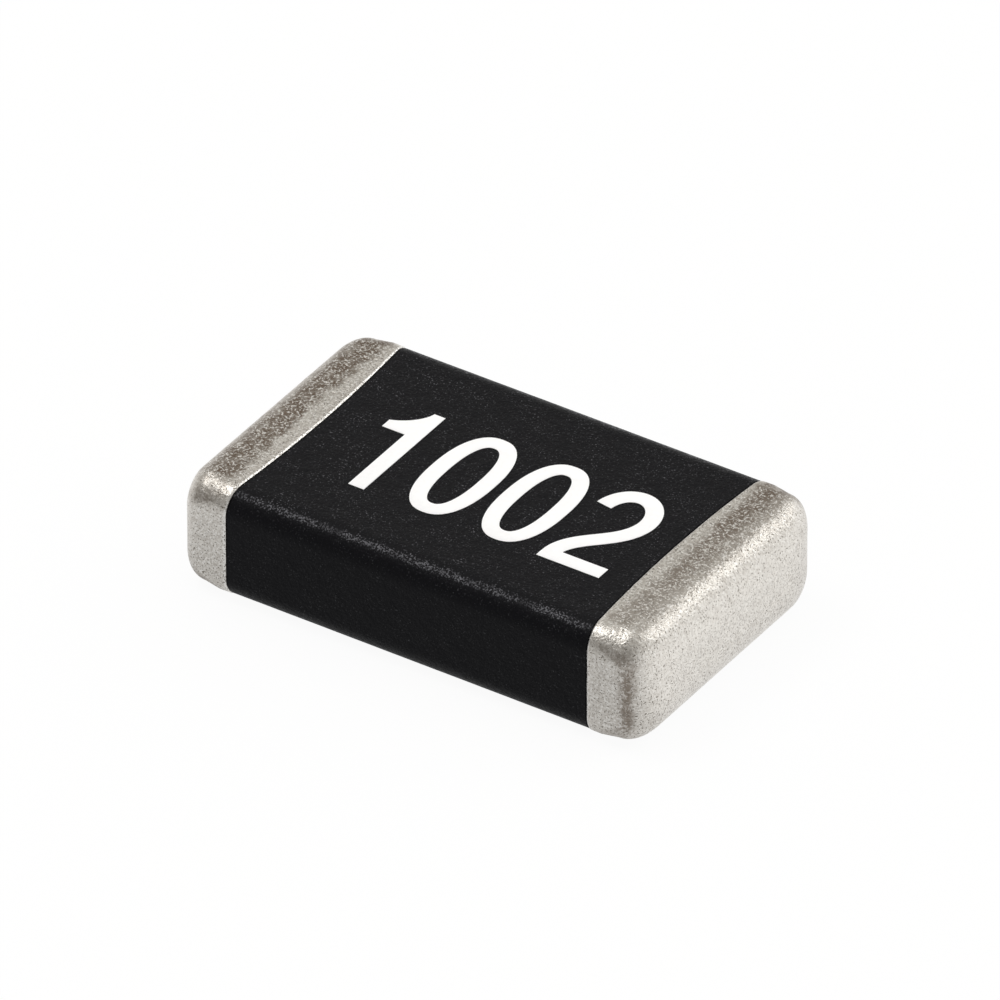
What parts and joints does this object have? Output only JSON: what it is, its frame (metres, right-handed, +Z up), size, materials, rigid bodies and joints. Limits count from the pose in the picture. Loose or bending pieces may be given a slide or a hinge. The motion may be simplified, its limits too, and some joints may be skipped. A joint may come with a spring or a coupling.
{
  "type": "smd chip resistor",
  "caption": "Surface-mount chip resistor: a black coated block with a metal terminal wrapped round each end, soldered down by its undersides.",
  "frame": {"origin": "middle of the chip, the point by which a placement machine sets it on a board; the terminals rest at half the height below it", "axes": "+X along the chip from terminal to terminal, +Y across it, +Z up out of the printed top face"},
  "size_m": [0.0016, 0.001, 0.0004],
  "materials": {
    "alumina": "fired white alumina ceramic, fine grained and dull",
    "resistive_film": "fired ruthenium oxide and glass film, dark and slightly rough",
    "glaze": "fired green glass overglaze, glossy",
    "epoxy_coat": "black filled epoxy coat, matt with a fine grain",
    "silver_print": "fired silver palladium print, matt",
    "silver_dip": "fired silver dip, matt",
    "nickel": "barrel-plated nickel, satin",
    "tin": "barrel-plated matt tin, frosted and finely pitted",
    "marking_ink": "white printed epoxy ink of the value code, dense and matt"
  },
  "bodies": {
    "root": {"ceramic_substrate": "alumina", "resistive_film": "resistive_film", "glass_overcoat": "glaze", "body_coat": "epoxy_coat", "top_electrode_left": "silver_print", "top_electrode_right": "silver_print", "bottom_electrode_left": "silver_print", "bottom_electrode_right": "silver_print", "end_electrode_left": "silver_dip", "end_electrode_right": "silver_dip", "nickel_barrier_left": "nickel", "nickel_barrier_right": "nickel", "tin_cap_left": "tin", "tin_cap_right": "tin"}
  },
  "joints": []
}
